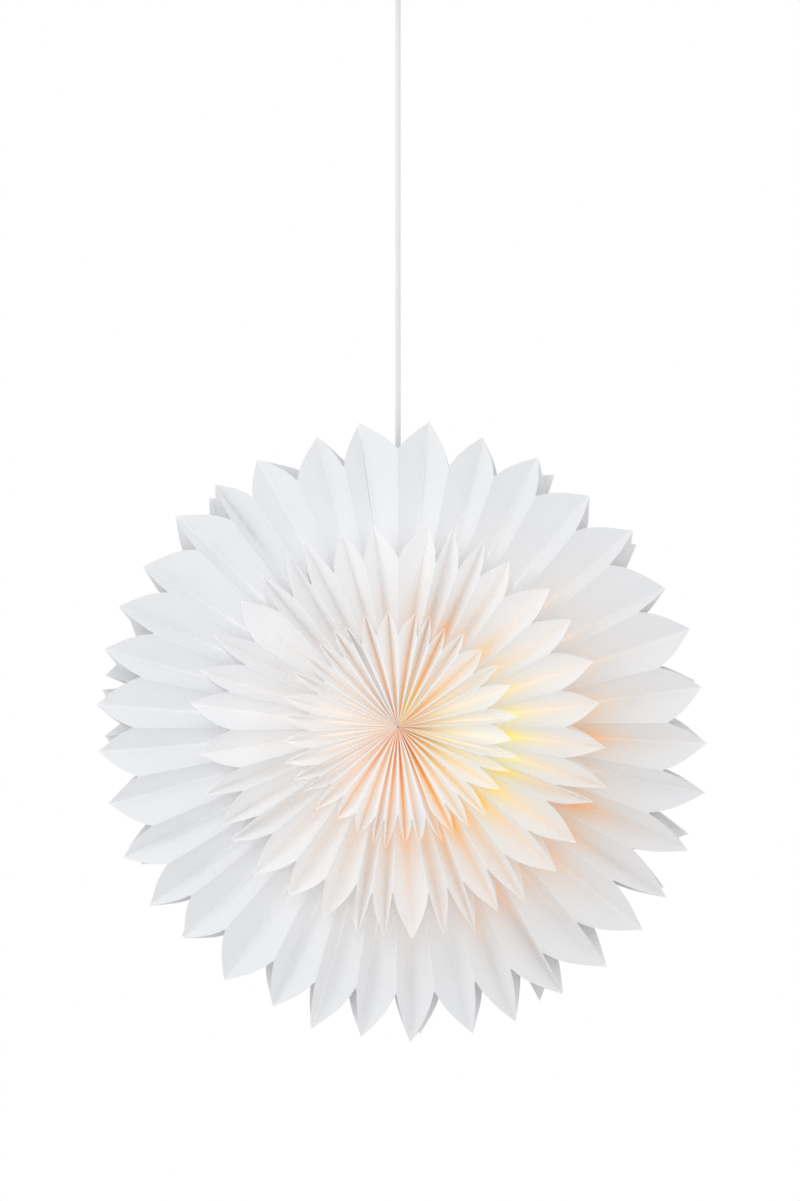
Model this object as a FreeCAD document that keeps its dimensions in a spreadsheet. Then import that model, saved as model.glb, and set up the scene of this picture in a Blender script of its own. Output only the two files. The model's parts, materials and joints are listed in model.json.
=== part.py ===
"""Folded paper star pendant: a ball of glued paper leaves round a small lamp, hung on its flex from a ceiling cup.

Millimetres, +Z up, origin on the ceiling at the middle of the cup. The star's own axis runs along Y, and its
front, where the pleats meet in a point, faces -Y.
"""
import FreeCAD
import Part

import math
import os

import Sketcher

Vector = FreeCAD.Vector
Rotation = FreeCAD.Rotation
Placement = FreeCAD.Placement

DRIVING = {
    # the star's pleats: radii from the star's axis
    "leaf_count": 35,
    "closing_pitch": 12.3,
    "closing_direction_angle": 90,
    "pitch_swing": 0.066,
    "swing_angle": 85,
    "pitch_wave_share": 0.063,
    "pitch_wave_angle": 54,
    "line_spacing": 35,
    "spacing_taper": 0.043,
    "outer_tip": 299,
    "outer_notch": 257,
    "middle_tip": 198,
    "middle_notch": 159,
    "inner_tip": 110,
    "inner_notch": 84,
    "petal_bulge": 3,
    "bulb_room": 84,
    "end_room": 70,
    "paper_wall": 0.3,
    "wall_growth_share": 0.5,
    "glue_film": 0.1,
    "fold_start": 12,
    "core_radius": 3.9,
    "core_recess": 8,
    "core_seat": 0.1,
    # tape over the rear folds of the closing cell
    "tape_width": 7,
    "tape_length": 30,
    "tape_wall": 0.15,
    "tape_inset": 6,
    # the flex, and what carries the star on it
    "star_drop": 762,
    "cord_diameter": 5.4,
    "cord_fit": 0.1,
    "seat_gap": 0.3,
    "bar_width": 26,
    "bar_length": 70,
    "bar_wall": 1.5,
    "stop_radius": 8,
    "stop_height": 8,
    "stop_screw_radius": 1.5,
    "stop_screw_length": 5,
    "bend_below_stop": 10.5,
    "bend_to_holder": 12,
    "lamp_lean": 18,
    # lampholder, measured down from its cord entry
    "holder_radius": 14,
    "holder_wall": 1.5,
    "neck_radius": 7,
    "neck_height": 8,
    "cap_height": 20,
    "cap_shoulder": 13,
    "cord_grip": 9,
    "grip_screw_radius": 2,
    "grip_screw_length": 5.5,
    "shell_length": 34,
    "insert_height": 12,
    "insert_skirt": 17,
    "skirt_wall": 1.8,
    "contact_radius": 2,
    "contact_height": 3,
    # lamp
    "thread_radius": 6.8,
    "thread_clearance": 0.3,
    "lamp_length": 78,
    "lamp_cap_length": 23,
    "lamp_cap_nose": 3.9,
    "lamp_cap_shoulder": 3,
    "lamp_cap_wall": 1,
    "globe_radius": 22.5,
    "globe_wall": 1,
    "globe_flare_share": 0.35,
    "lamp_neck_radius": 8.5,
    "lamp_contact_radius": 2.4,
    "lamp_contact_height": 1.5,
    "module_radius": 5.5,
    "module_height": 22,
    "turning_gap": 0.1,
    # ceiling fitting
    "cup_radius": 45,
    "cup_height": 34,
    "cup_wall": 1.2,
    "cup_chamfer": 12,
    "collar_radius": 14,
    "collar_height": 11,
    "collar_taper": 2,
    "ball_radius": 9,
    "ball_half_height": 6,
    "ball_clearance": 0.3,
    "ball_lip": 0.5,
    "cord_flare": 0.3,
    "bracket_width": 18,
    "bracket_wall": 1.5,
    "ear_height": 14,
    "hole_spacing": 60,
    "hole_radius": 2.4,
    "cup_screw_radius": 1.5,
    "cup_screw_head": 3.2,
    "screw_clearance": 0.15,
    "screw_head_height": 2,
    "cup_screw_length": 6,
    "block_length": 24,
    "block_width": 16,
    "block_height": 12,
    "block_screw_radius": 2.2,
    "block_screw_depth": 4,
    "block_screw_spacing": 10,
}

doc = FreeCAD.newDocument("star_pendant")
sheet = doc.addObject("Spreadsheet::Sheet", "Sizes")
for row, (alias, value) in enumerate(DRIVING.items(), start=1):
    sheet.set(f"A{row}", alias)
    sheet.set(f"B{row}", str(value))
    sheet.setAlias(f"B{row}", alias)
doc.recompute()

NODES = []


def size(alias):
    """The value of a driving dimension."""
    return float(sheet.get(alias))


def node(obj, label, placement=None):
    """Names a finished sub-part, puts it in place and lists it for export."""
    obj.Label = label
    if placement is not None:
        obj.Placement = placement
    NODES.append(obj)
    return obj


def bind(obj, **formulas):
    """Ties an object's properties to the sheet."""
    for prop, formula in formulas.items():
        obj.setExpression(prop, formula)
    return obj


def cylinder(name, radius, length, at=Vector(), turn=Rotation()):
    """A cylinder along its own Z, with its size tied to the sheet."""
    tool = bind(doc.addObject("Part::Cylinder", name), Radius=radius, Height=length)
    tool.Placement = Placement(at, turn)
    return tool


def box(name, length, width, height, at):
    """A box from its lowest corner, with its size tied to the sheet."""
    tool = bind(doc.addObject("Part::Box", name), Length=length, Width=width, Height=height)
    tool.Placement = Placement(at, Rotation())
    return tool


def cut(base, *tools):
    """The base less each tool in turn."""
    for tool in tools:
        step = doc.addObject("Part::Cut", f"{base.Name}_cut")
        step.Base = base
        step.Tool = tool
        base = step
    return base


def group(name, pieces):
    """Several separate solids in one sub-part."""
    joined = doc.addObject("Part::Compound", name)
    joined.Links = pieces
    return joined


def plane_of(body, role):
    """One of a body's own origin planes."""
    return next(feature for feature in body.Origin.OriginFeatures if feature.Role == role)


def outline(body, name, role, corners):
    """A closed sketch whose corners are pairs of formulas on the sheet, each held by two distances."""
    sketch = body.newObject("Sketcher::SketchObject", name)
    sketch.AttachmentSupport = [(plane_of(body, role), "")]
    sketch.MapMode = "FlatFace"
    count = len(corners)
    spots = [
        Vector(20 + 10 * math.cos(math.tau * i / count), 10 * math.sin(math.tau * i / count), 0)
        for i in range(count)
    ]
    for i in range(count):
        sketch.addGeometry(Part.LineSegment(spots[i], spots[(i + 1) % count]))
    for i in range(count):
        sketch.addConstraint(Sketcher.Constraint("Coincident", i, 2, (i + 1) % count, 1))
    for i, (across, along) in enumerate(corners):
        for kind, formula in (("DistanceX", across), ("DistanceY", along)):
            index = sketch.addConstraint(Sketcher.Constraint(kind, -1, 1, i, 1, 1.0))
            sketch.setExpression(f"Constraints[{index}]", formula)
    return sketch


def turned(name, corners):
    """A body turned round its own Z from a profile of (radius, height) formulas."""
    body = doc.addObject("PartDesign::Body", name)
    sketch = outline(body, f"{name}_profile", "XZ_Plane", corners)
    doc.recompute()
    turn = body.newObject("PartDesign::Revolution", f"{name}_turn")
    turn.Profile = sketch
    turn.ReferenceAxis = (sketch, ["V_Axis"])
    turn.Angle = 360
    return body


# ---------------------------------------------------------------- places along the flex

cord_radius = size("cord_diameter") / 2
pivot = Vector(0, 0, -(size("cup_height") + size("collar_height") / 2 - size("cup_wall")))
star_centre = Vector(0, 0, -size("star_drop"))
half_bar = size("bar_width") / 2
bar_top = math.sqrt(size("bulb_room") ** 2 - half_bar**2) - size("seat_gap")
stop_top = bar_top - size("bar_wall")
bend = star_centre + Vector(0, 0, stop_top - size("stop_height") - size("bend_below_stop"))
lean = Rotation(Vector(0, 1, 0), -size("lamp_lean"))
lamp_down = lean.multVec(Vector(0, 0, -1))
holder_place = Placement(bend + lamp_down * size("bend_to_holder"), lean)


# ---------------------------------------------------------------- paper leaves

TIERS = {
    # centre line of the cell: inner end, notch on its folds, tip on its seams
    5: ("fold_start", "inner_notch", "inner_tip"),
    3: ("end_room", "middle_notch", "middle_tip"),
    1: ("bulb_room", "outer_notch", "outer_tip"),
}


def spacing(radius):
    """Axial distance between two neighbouring glue lines at a radius."""
    return size("line_spacing") - size("spacing_taper") * radius


def across_wall(radius):
    """A wall's thickness measured along the pleat's width, more where the pleat opens wider."""
    return size("paper_wall") * (1 + size("wall_growth_share") * radius / size("outer_tip"))


def leaf_point(radius, width, line):
    """A point of a leaf that lies along +X, on a line counted from the middle of the star to its front."""
    return Vector(radius, -line * spacing(radius), width)


def solid_of(faces):
    """A solid from facets that close round it."""
    shell = Part.Compound([Part.Face(Part.makePolygon(points + points[:1])) for points in faces])
    shell.sewShape()
    return Part.Solid(shell.Shells[0])


def panel(fold, seam, stations):
    """Facets of one wall from its fold to its seam, cut to half a petal at its outer end."""
    start, notch, tip = stations
    middle = (notch + tip) / 2 + size("petal_bulge")
    halfway = (fold(middle) + seam(middle)) / 2
    return [
        [fold(start), seam(start), seam(notch)],
        [fold(start), seam(notch), fold(notch)],
        [fold(notch), seam(notch), halfway],
        [seam(notch), seam(tip), halfway],
    ], [fold(notch), halfway, seam(tip)]


def strip(first, second):
    """Facets that join two lines of as many points."""
    faces = []
    for i in range(len(first) - 1):
        faces.append([first[i], first[i + 1], second[i + 1]])
        faces.append([first[i], second[i + 1], second[i]])
    return faces


def cell(line, half_pitch):
    """One paper tube of a leaf: four walls between two folds and two seams, open at its petals."""
    start, notch, tip = (size(alias) for alias in TIERS[abs(line)])
    slope = math.tan(math.radians(half_pitch))
    film = size("glue_film") / 2
    spine = size("core_radius") + size("core_seat")

    def corner(side_line, side_width, inner):
        def at(radius):
            width = radius * slope - film
            reach = spacing(radius) - film
            left = (width - across_wall(radius)) / width if inner else 1
            lines = line + side_line * left * reach / spacing(radius)
            return leaf_point(radius, side_width * left * width, lines)

        return at

    faces = []
    closed = abs(line) == 5
    ring = [(1, 0), (0, 1), (-1, 0), (0, -1)]
    outside = [corner(*way, inner=False) for way in ring]
    inside = [corner(*way, inner=True) for way in ring]
    outer_start = spine if closed else start
    for fold, seam in ((0, 1), (0, 3), (2, 1), (2, 3)):
        outer, outer_edge = panel(outside[fold], outside[seam], (outer_start, notch, tip))
        inner, inner_edge = panel(inside[fold], inside[seam], (start, notch, tip))
        faces += outer + inner + strip(outer_edge, inner_edge)
        if not closed:
            faces.append([outside[fold](start), outside[seam](start), inside[seam](start), inside[fold](start)])
    if closed:
        faces.append([way(outer_start) for way in outside])
        faces.append([way(start) for way in inside])
    return solid_of(faces)


def leaf_shape(half_pitch):
    """Six tubes in a row, glued to each other along their folds."""
    return Part.Compound([cell(line, half_pitch) for line in (5, 3, 1, -1, -3, -5)])


def end_sheet_shape(side):
    """The pleated sheet on one side of the closing cell, which the flex spreads at its middle fold."""
    slope = math.tan(math.radians(size("closing_pitch") / 2))
    film = size("glue_film") / 2
    spine = size("core_radius") + size("core_seat")
    cord_side = cord_radius + size("cord_fit")

    def wall(at_line, shift):
        def at(radius):
            thick = across_wall(radius) * shift
            if at_line % 2:
                width = radius * slope - film - across_wall(radius) + thick
            elif at_line == 0:
                width = cord_side + thick
            else:
                width = film + thick
            return leaf_point(radius, side * width, at_line)

        return at

    sheets = []
    for line in (5, 3, 1, -1, -3, -5):
        start, notch, tip = (size(alias) for alias in TIERS[abs(line)])
        if abs(line) == 5:
            start = spine + size("fold_start")
        faces = []
        for fold in (line + 1, line - 1):
            outer, outer_edge = panel(wall(fold, 1), wall(line, 1), (start, notch, tip))
            inner, inner_edge = panel(wall(fold, 0), wall(line, 0), (start, notch, tip))
            faces += outer + inner + strip(outer_edge, inner_edge)
            ends = [wall(fold, 1), wall(line, 1), wall(line, 0), wall(fold, 0)]
            faces.append([way(start) for way in ends])
            faces.append([wall(fold, 1)(start), wall(fold, 1)(notch), wall(fold, 0)(notch), wall(fold, 0)(start)])
        sheets.append(solid_of(faces))
    return sheets[0].multiFuse(sheets[1:]).removeSplitter()


def leaf_pitches():
    """Angle that each leaf takes up: they gape at the top and lower left of the star and crowd elsewhere."""
    count = int(size("leaf_count"))
    left = 360 - size("closing_pitch")
    raw = []
    for i in range(count):
        middle = size("closing_direction_angle") + size("closing_pitch") / 2 + (i + 0.5) * left / count
        swing = math.cos(math.radians(middle - size("swing_angle")))
        wave = math.cos(2 * math.radians(middle - size("pitch_wave_angle")))
        raw.append(1 + size("pitch_swing") * swing + size("pitch_wave_share") * wave)
    return [left * value / sum(raw) for value in raw]


def make_leaves():
    """All glued leaves, counted anticlockwise from the closing cell at the top."""
    edge = size("closing_direction_angle") + size("closing_pitch") / 2
    for number, pitch in enumerate(leaf_pitches(), start=1):
        leaf = doc.addObject("Part::Feature", f"leaf_{number:02d}")
        leaf.Shape = leaf_shape(pitch / 2)
        turn = Rotation(Vector(0, 1, 0), -(edge + pitch / 2))
        node(leaf, f"leaf_{number:02d}", Placement(star_centre, turn))
        edge += pitch


def make_closing_cell():
    """The two end sheets of the paper ball, which meet at the top round the flex, and their tapes."""
    upright = Placement(star_centre, Rotation(Vector(0, 1, 0), -size("closing_direction_angle")))
    for name, side in (("first_end_sheet", 1), ("last_end_sheet", -1)):
        feature = doc.addObject("Part::Feature", name)
        feature.Shape = end_sheet_shape(side)
        node(feature, name, upright)
    tapes = doc.addObject("Part::Feature", "seam_tapes")
    tapes.Shape = Part.Compound([tape_shape(line, TIERS[line - 1 if line > 2 else 1][1]) for line in (6, 4, 2)])
    node(tapes, "seam_tapes", upright)


def tape_shape(line, notch_alias):
    """A strip of tape folded over a rear ridge, near its notch."""
    notch = size(notch_alias)
    slope = math.tan(math.radians(size("closing_pitch") / 2))
    wide = notch * slope - size("glue_film")
    rise = spacing(notch)
    length = math.hypot(wide, rise)
    clear = size("glue_film") * length / rise
    thick = size("tape_wall") * length / rise
    far = size("tape_width") * wide / length
    stations = (notch - size("tape_inset") - size("tape_length"), notch - size("tape_inset"))

    def section(radius):
        ridge = line * spacing(radius)
        top = size("glue_film") / 2 + across_wall(notch)
        spots = []
        for lift in (clear, clear + thick):
            row = [(top + lift + far, -far * rise / wide), (top + lift, lift)]
            spots.append([(-w, y) for w, y in row] + [(w, y) for w, y in reversed(row)])
        under, over = spots
        return [Vector(radius, ridge + y, w) for w, y in under + list(reversed(over))]

    first, last = (section(radius) for radius in stations)
    count = len(first)
    faces = []
    for i in range(count):
        after = (i + 1) % count
        faces.append([first[i], first[after], last[after], last[i]])
    pieces = ((0, 1, 6, 7), (1, 2, 5, 6), (2, 3, 4, 5))
    for ends in (first, last):
        faces += [[ends[i] for i in piece] for piece in pieces]
    return solid_of(faces)


def make_cores():
    """Glue cores on the star's axis, where all leaves meet in front and behind."""
    for name, way in (("spine_core_front", -1), ("spine_core_back", 1)):
        near = 4 * spacing(size("core_radius"))
        core = doc.addObject("Part::Cylinder", name)
        bind(
            core,
            Radius="Sizes.core_radius",
            Height="2 * (Sizes.line_spacing - Sizes.spacing_taper * Sizes.core_radius) - Sizes.core_recess",
        )
        facing = Rotation(Vector(1, 0, 0), -90 * way)
        node(core, name, Placement(star_centre + Vector(0, way * near, 0), facing))


# ---------------------------------------------------------------- what carries the star on the flex


def make_hanger():
    """A flat bar under the leaves, on a collar that its screw clamps to the flex."""
    hole = "Sizes.cord_diameter / 2 + Sizes.seat_gap"
    bar_base = star_centre + Vector(-half_bar, -size("bar_length") / 2, stop_top)
    bar = box("bar_plate", "Sizes.bar_width", "Sizes.bar_length", "Sizes.bar_wall", bar_base)
    bar_hole = cylinder("bar_hole", hole, "Sizes.bar_wall", star_centre + Vector(0, 0, stop_top))
    node(cut(bar, bar_hole), "hanger_bar")

    foot = star_centre + Vector(0, 0, stop_top - size("stop_height"))
    collar = cylinder("stop_collar", "Sizes.stop_radius", "Sizes.stop_height", foot)
    bore = cylinder("stop_bore", "Sizes.cord_diameter / 2 + Sizes.cord_fit", "Sizes.stop_height", foot)
    sideways = Rotation(Vector(0, 1, 0), 90)
    middle = foot + Vector(0, 0, size("stop_height") / 2)
    tapped = cylinder("stop_thread", "Sizes.stop_screw_radius", "Sizes.stop_radius", middle, sideways)
    node(cut(collar, bore, tapped), "cord_stop")
    screw_at = middle + Vector(cord_radius + size("cord_fit"), 0, 0)
    screw = cylinder("stop_screw", "Sizes.stop_screw_radius", "Sizes.stop_screw_length", screw_at, sideways)
    node(screw, "cord_stop_screw")


def tube(name, points, straight_end=True):
    """A round flex along straight runs joined by arcs, each as large as its runs allow."""
    edges = []
    start = points[0]
    for before, corner, after in zip(points, points[1:], points[2:]):
        back = (before - corner).normalize()
        ahead = (after - corner).normalize()
        half_turn = (math.pi - back.getAngle(ahead)) / 2
        tangent = 0.45 * min((before - corner).Length, (after - corner).Length)
        radius = tangent / math.tan(half_turn)
        print(f"{name}: radius {radius:.1f} mm")
        first = corner + back * tangent
        last = corner + ahead * tangent
        inward = (back + ahead).normalize()
        centre = corner + inward * (radius / math.cos(half_turn))
        middle = centre - inward * radius
        edges += [Part.LineSegment(start, first).toShape(), Part.Arc(first, middle, last).toShape()]
        start = last
    edges.append(Part.LineSegment(start, points[-1]).toShape())
    path = Part.Wire(edges)
    section = Part.Wire(Part.makeCircle(cord_radius, points[0], points[1] - points[0]))
    solid = path.makePipeShell([section], True, False)
    expected = math.pi * cord_radius**2 * path.Length
    print(f"{name}: length {path.Length:.1f} mm, volume over section x length {solid.Volume / expected:.5f}")
    if not straight_end:
        solid = solid.fuse(Part.makeSphere(cord_radius, points[0])).removeSplitter()
    return solid


def make_cords():
    """The flex in the cup, and the flex from the cup's ball down through the star into the lampholder."""
    cord_end = bend + lamp_down * (size("bend_to_holder") + size("cord_grip"))
    hanging = doc.addObject("Part::Feature", "cord")
    hanging.Shape = tube("cord", [pivot, bend, cord_end], straight_end=False)
    node(hanging, "cord")
    upper_foot = pivot + Vector(0, 0, cord_radius + size("seat_gap"))
    block_foot = size("bracket_wall") + size("block_height") + size("seat_gap")
    upper = bind(
        doc.addObject("Part::Cylinder", "upper"),
        Radius="Sizes.cord_diameter / 2",
    )
    upper.Height = -block_foot - upper_foot.z
    node(upper, "cord_upper", Placement(upper_foot, Rotation()))


# ---------------------------------------------------------------- lampholder


def make_holder():
    """Bakelite lampholder: cap with its cord grip, shell, thread insert and centre contact."""
    sideways = Rotation(Vector(1, 0, 0), -90)
    cap = turned(
        "cap",
        [
            ("Sizes.cord_diameter / 2 + Sizes.cord_fit", "0"),
            ("Sizes.neck_radius", "0"),
            ("Sizes.neck_radius", "-Sizes.neck_height"),
            ("Sizes.holder_radius", "-Sizes.cap_shoulder"),
            ("Sizes.holder_radius", "-Sizes.cap_height"),
            ("Sizes.holder_radius - Sizes.holder_wall", "-Sizes.cap_height"),
            ("Sizes.holder_radius - Sizes.holder_wall", "-Sizes.cap_shoulder - Sizes.holder_wall / 2"),
            ("Sizes.neck_radius - Sizes.holder_wall", "-Sizes.neck_height - Sizes.holder_wall"),
            ("Sizes.cord_diameter / 2 + Sizes.cord_fit", "-Sizes.neck_height - Sizes.holder_wall"),
        ],
    )
    middle = Vector(0, 0, -size("neck_height") / 2)
    tapped = cylinder("grip_thread", "Sizes.grip_screw_radius", "Sizes.neck_radius", middle, sideways)
    node(cut(cap, tapped), "holder_cap", holder_place)
    grip_at = middle + Vector(0, cord_radius + size("cord_fit"), 0)
    grip = cylinder("grip_screw", "Sizes.grip_screw_radius", "Sizes.grip_screw_length", grip_at, sideways)
    node(grip, "cord_grip_screw", holder_place.multiply(grip.Placement))

    shell = turned(
        "shell",
        [
            ("Sizes.holder_radius", "-Sizes.cap_height"),
            ("Sizes.holder_radius", "-Sizes.cap_height - Sizes.shell_length"),
            ("Sizes.holder_radius - 2 * Sizes.holder_wall", "-Sizes.cap_height - Sizes.shell_length"),
            (
                "Sizes.holder_radius - 2 * Sizes.holder_wall",
                "-Sizes.cap_height - Sizes.shell_length + Sizes.holder_wall",
            ),
            ("Sizes.holder_radius - Sizes.holder_wall", "-Sizes.cap_height - Sizes.shell_length + Sizes.holder_wall"),
            ("Sizes.holder_radius - Sizes.holder_wall", "-Sizes.cap_height"),
        ],
    )
    node(shell, "holder_shell", holder_place)

    skirt = "Sizes.thread_radius + Sizes.thread_clearance"
    insert = turned(
        "insert",
        [
            ("0", "-Sizes.cap_height"),
            ("Sizes.holder_radius - Sizes.holder_wall - Sizes.cord_fit", "-Sizes.cap_height"),
            (
                "Sizes.holder_radius - Sizes.holder_wall - Sizes.cord_fit",
                "-Sizes.cap_height - Sizes.insert_height",
            ),
            (f"{skirt} + Sizes.skirt_wall", "-Sizes.cap_height - Sizes.insert_height"),
            (f"{skirt} + Sizes.skirt_wall", "-Sizes.cap_height - Sizes.insert_height - Sizes.insert_skirt"),
            (skirt, "-Sizes.cap_height - Sizes.insert_height - Sizes.insert_skirt"),
            (skirt, "-Sizes.cap_height - Sizes.insert_height"),
            ("0", "-Sizes.cap_height - Sizes.insert_height"),
        ],
    )
    node(insert, "holder_insert", holder_place)
    contact_foot = Vector(0, 0, -size("cap_height") - size("insert_height") - size("contact_height"))
    contact = cylinder("contact", "Sizes.contact_radius", "Sizes.contact_height", contact_foot)
    node(contact, "centre_contact", holder_place.multiply(contact.Placement))


# ---------------------------------------------------------------- lamp


def make_lamp():
    """A small round lamp with a screw cap: contact, cap, opal globe and light module."""
    above = ("cap_height", "insert_height", "contact_height", "turning_gap")
    seat = " + ".join(f"Sizes.{alias}" for alias in above)
    lamp_top = sum(size(alias) for alias in above)
    pip_foot = Vector(0, 0, -lamp_top - size("lamp_contact_height"))
    pip = cylinder("pip", "Sizes.lamp_contact_radius", "Sizes.lamp_contact_height", pip_foot)
    node(pip, "lamp_contact", holder_place.multiply(pip.Placement))

    cap_top = f"-({seat} + Sizes.lamp_contact_height + Sizes.turning_gap)"
    cap_foot = f"{cap_top} - Sizes.lamp_cap_length"
    bore = "Sizes.thread_radius - Sizes.lamp_cap_wall"
    floor = f"{cap_top} - Sizes.lamp_cap_shoulder - Sizes.lamp_cap_wall"
    cap = turned(
        "screw_cap",
        [
            ("0", cap_top),
            ("Sizes.lamp_cap_nose", cap_top),
            ("Sizes.thread_radius", f"{cap_top} - Sizes.lamp_cap_shoulder"),
            ("Sizes.thread_radius", cap_foot),
            (bore, cap_foot),
            (bore, floor),
            ("0", floor),
        ],
    )
    node(cap, "lamp_cap", holder_place)

    cap_foot_z = -(lamp_top + size("lamp_contact_height") + size("turning_gap") + size("lamp_cap_length"))
    globe_middle = -(lamp_top + size("lamp_length") - size("globe_radius"))
    globe = doc.addObject("Part::Feature", "globe")
    globe.Shape = globe_shape(cap_foot_z, globe_middle)
    node(globe, "lamp_globe", holder_place)

    module_foot = Vector(0, 0, cap_foot_z - size("module_height"))
    module = cylinder("module", "Sizes.module_radius", "Sizes.module_height", module_foot)
    node(module, "light_module", holder_place.multiply(module.Placement))


def globe_shape(neck_top, middle):
    """The lamp's glass: a neck that flares into a ball, hollow, with its foot on the cap."""
    neck = size("lamp_neck_radius")

    def profile(inset):
        ball = size("globe_radius") - inset
        throat = neck - inset
        flare = middle + ball * math.cos(math.asin(neck / size("globe_radius") + size("globe_flare_share")))
        wide = math.sqrt(ball**2 - (flare - middle) ** 2)
        curve = Part.Arc(
            Vector(wide, 0, flare),
            Vector(ball, 0, middle),
            Vector(0, 0, middle - ball),
        ).toShape()
        side = Part.LineSegment(Vector(throat, 0, neck_top), Vector(wide, 0, flare)).toShape()
        top = Part.LineSegment(Vector(0, 0, neck_top), Vector(throat, 0, neck_top)).toShape()
        axis = Part.LineSegment(Vector(0, 0, middle - ball), Vector(0, 0, neck_top)).toShape()
        face = Part.Face(Part.Wire([top, side, curve, axis]))
        return face.revolve(Vector(), Vector(0, 0, 1), 360)

    return profile(0).cut(profile(size("globe_wall")))


# ---------------------------------------------------------------- ceiling fitting


def make_ceiling():
    """Bracket, cup with its ball seat, two cup screws, terminal block and the ball that lets the flex swing."""
    room = "Sizes.cup_radius - Sizes.cup_wall - Sizes.seat_gap"
    inner = f"sqrt(({room}) ^ 2 - (Sizes.bracket_width / 2) ^ 2)"
    bracket_body = doc.addObject("PartDesign::Body", "bracket")
    strap = outline(
        bracket_body,
        "bracket_side",
        "XZ_Plane",
        [
            (f"-({inner})", "0"),
            (inner, "0"),
            (inner, "-Sizes.ear_height"),
            (f"{inner} - Sizes.bracket_wall", "-Sizes.ear_height"),
            (f"{inner} - Sizes.bracket_wall", "-Sizes.bracket_wall"),
            (f"-({inner} - Sizes.bracket_wall)", "-Sizes.bracket_wall"),
            (f"-({inner} - Sizes.bracket_wall)", "-Sizes.ear_height"),
            (f"-({inner})", "-Sizes.ear_height"),
        ],
    )
    doc.recompute()
    pad = bracket_body.newObject("PartDesign::Pad", "bracket_pad")
    pad.Profile = strap
    pad.Midplane = True
    bind(pad, Length="Sizes.bracket_width")
    doc.recompute()
    holes = []
    for side in (-1, 1):
        at = Vector(side * size("hole_spacing") / 2, 0, -size("bracket_wall"))
        holes.append(cylinder("ceiling_hole", "Sizes.hole_radius", "Sizes.bracket_wall", at))
    ear_middle = -size("ear_height") / 2 - size("bracket_wall") / 2
    screw_hole = ("Sizes.cup_screw_radius + Sizes.screw_clearance", "2 * Sizes.cup_radius")
    screw_line = (Vector(-size("cup_radius"), 0, ear_middle), Rotation(Vector(0, 1, 0), 90))
    ear_hole = cylinder("ear_hole", *screw_hole, *screw_line)
    node(cut(bracket_body, *holes, ear_hole), "ceiling_bracket")

    drop = "Sizes.cup_height"
    collar_foot = f"-({drop} + Sizes.collar_height - Sizes.cup_wall)"
    cup_body = turned(
        "cup",
        [
            ("Sizes.cup_radius - Sizes.cup_wall", "0"),
            ("Sizes.cup_radius", "0"),
            ("Sizes.cup_radius", f"-({drop} - Sizes.cup_chamfer)"),
            ("Sizes.cup_radius - Sizes.cup_chamfer", f"-{drop}"),
            ("Sizes.collar_radius", f"-{drop}"),
            ("Sizes.collar_radius - Sizes.collar_taper", collar_foot),
            ("Sizes.ball_radius / 2", collar_foot),
            ("Sizes.ball_radius / 2", f"-({drop} - Sizes.cup_wall)"),
            ("Sizes.cup_radius - Sizes.cup_chamfer - Sizes.cup_wall / 2", f"-({drop} - Sizes.cup_wall)"),
            ("Sizes.cup_radius - Sizes.cup_wall", f"-({drop} - Sizes.cup_chamfer - Sizes.cup_wall / 2)"),
        ],
    )
    seat = bind(doc.addObject("Part::Sphere", "ball_seat"), Radius="Sizes.ball_radius + Sizes.ball_clearance")
    seat.Placement = Placement(pivot, Rotation())
    wall_hole = cylinder("cup_hole", *screw_hole, *screw_line)
    mouth = bind(
        doc.addObject("Part::Cone", "cup_mouth"),
        Radius1="Sizes.ball_radius - Sizes.ball_lip",
        Radius2="Sizes.ball_radius / 2",
        Height="Sizes.collar_height / 2",
    )
    mouth.Placement = Placement(pivot - Vector(0, 0, size("collar_height") / 2), Rotation())
    node(cut(cup_body, seat, mouth, wall_hole), "ceiling_cup")

    screws = []
    for side in (-1, 1):
        turn = Rotation(Vector(0, 1, 0), -90 * side)
        face = Vector(side * size("cup_radius"), 0, ear_middle)
        shank = cylinder("cup_shank", "Sizes.cup_screw_radius", "Sizes.cup_screw_length", face, turn)
        head_at = face + Vector(side * size("screw_head_height"), 0, 0)
        head = cylinder("cup_head", "Sizes.cup_screw_head", "Sizes.screw_head_height", head_at, turn)
        screw = doc.addObject("Part::Fuse", "cup_screw")
        screw.Base = shank
        screw.Tool = head
        screws.append(screw)
    node(group("screws", screws), "cup_screws")

    block_at = Vector(
        -size("block_length") / 2,
        -size("block_width") / 2,
        -size("bracket_wall") - size("block_height"),
    )
    block = box("block", "Sizes.block_length", "Sizes.block_width", "Sizes.block_height", block_at)
    block_middle = block_at.z + size("block_height") / 2
    wells = []
    for side in (-1, 1):
        well_at = Vector(side * size("block_screw_spacing") / 2, -size("block_width") / 2, block_middle)
        wells.append(
            cylinder(
                "block_well",
                "Sizes.block_screw_radius",
                "Sizes.block_screw_depth",
                well_at,
                Rotation(Vector(1, 0, 0), -90),
            )
        )
    node(cut(block, *wells), "terminal_block")

    ball = bind(doc.addObject("Part::Sphere", "ball"), Radius="Sizes.ball_radius")
    slab = cylinder(
        "ball_band",
        "Sizes.ball_radius",
        "2 * Sizes.ball_half_height",
        Vector(0, 0, -size("ball_half_height")),
    )
    band = doc.addObject("Part::Common", "ball_zone")
    band.Base = ball
    band.Tool = slab
    flares = []
    for turn in (Rotation(), Rotation(Vector(1, 0, 0), 180)):
        flare = bind(
            doc.addObject("Part::Cone", "ball_flare"),
            Radius1="Sizes.cord_diameter / 2 + Sizes.seat_gap",
            Radius2="Sizes.cord_diameter / 2 + Sizes.seat_gap + Sizes.cord_flare * Sizes.ball_radius",
            Height="Sizes.ball_radius",
        )
        flare.Placement = Placement(Vector(), turn)
        flares.append(flare)
    node(cut(band, *flares), "cord_ball", Placement(pivot, Rotation()))


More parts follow.
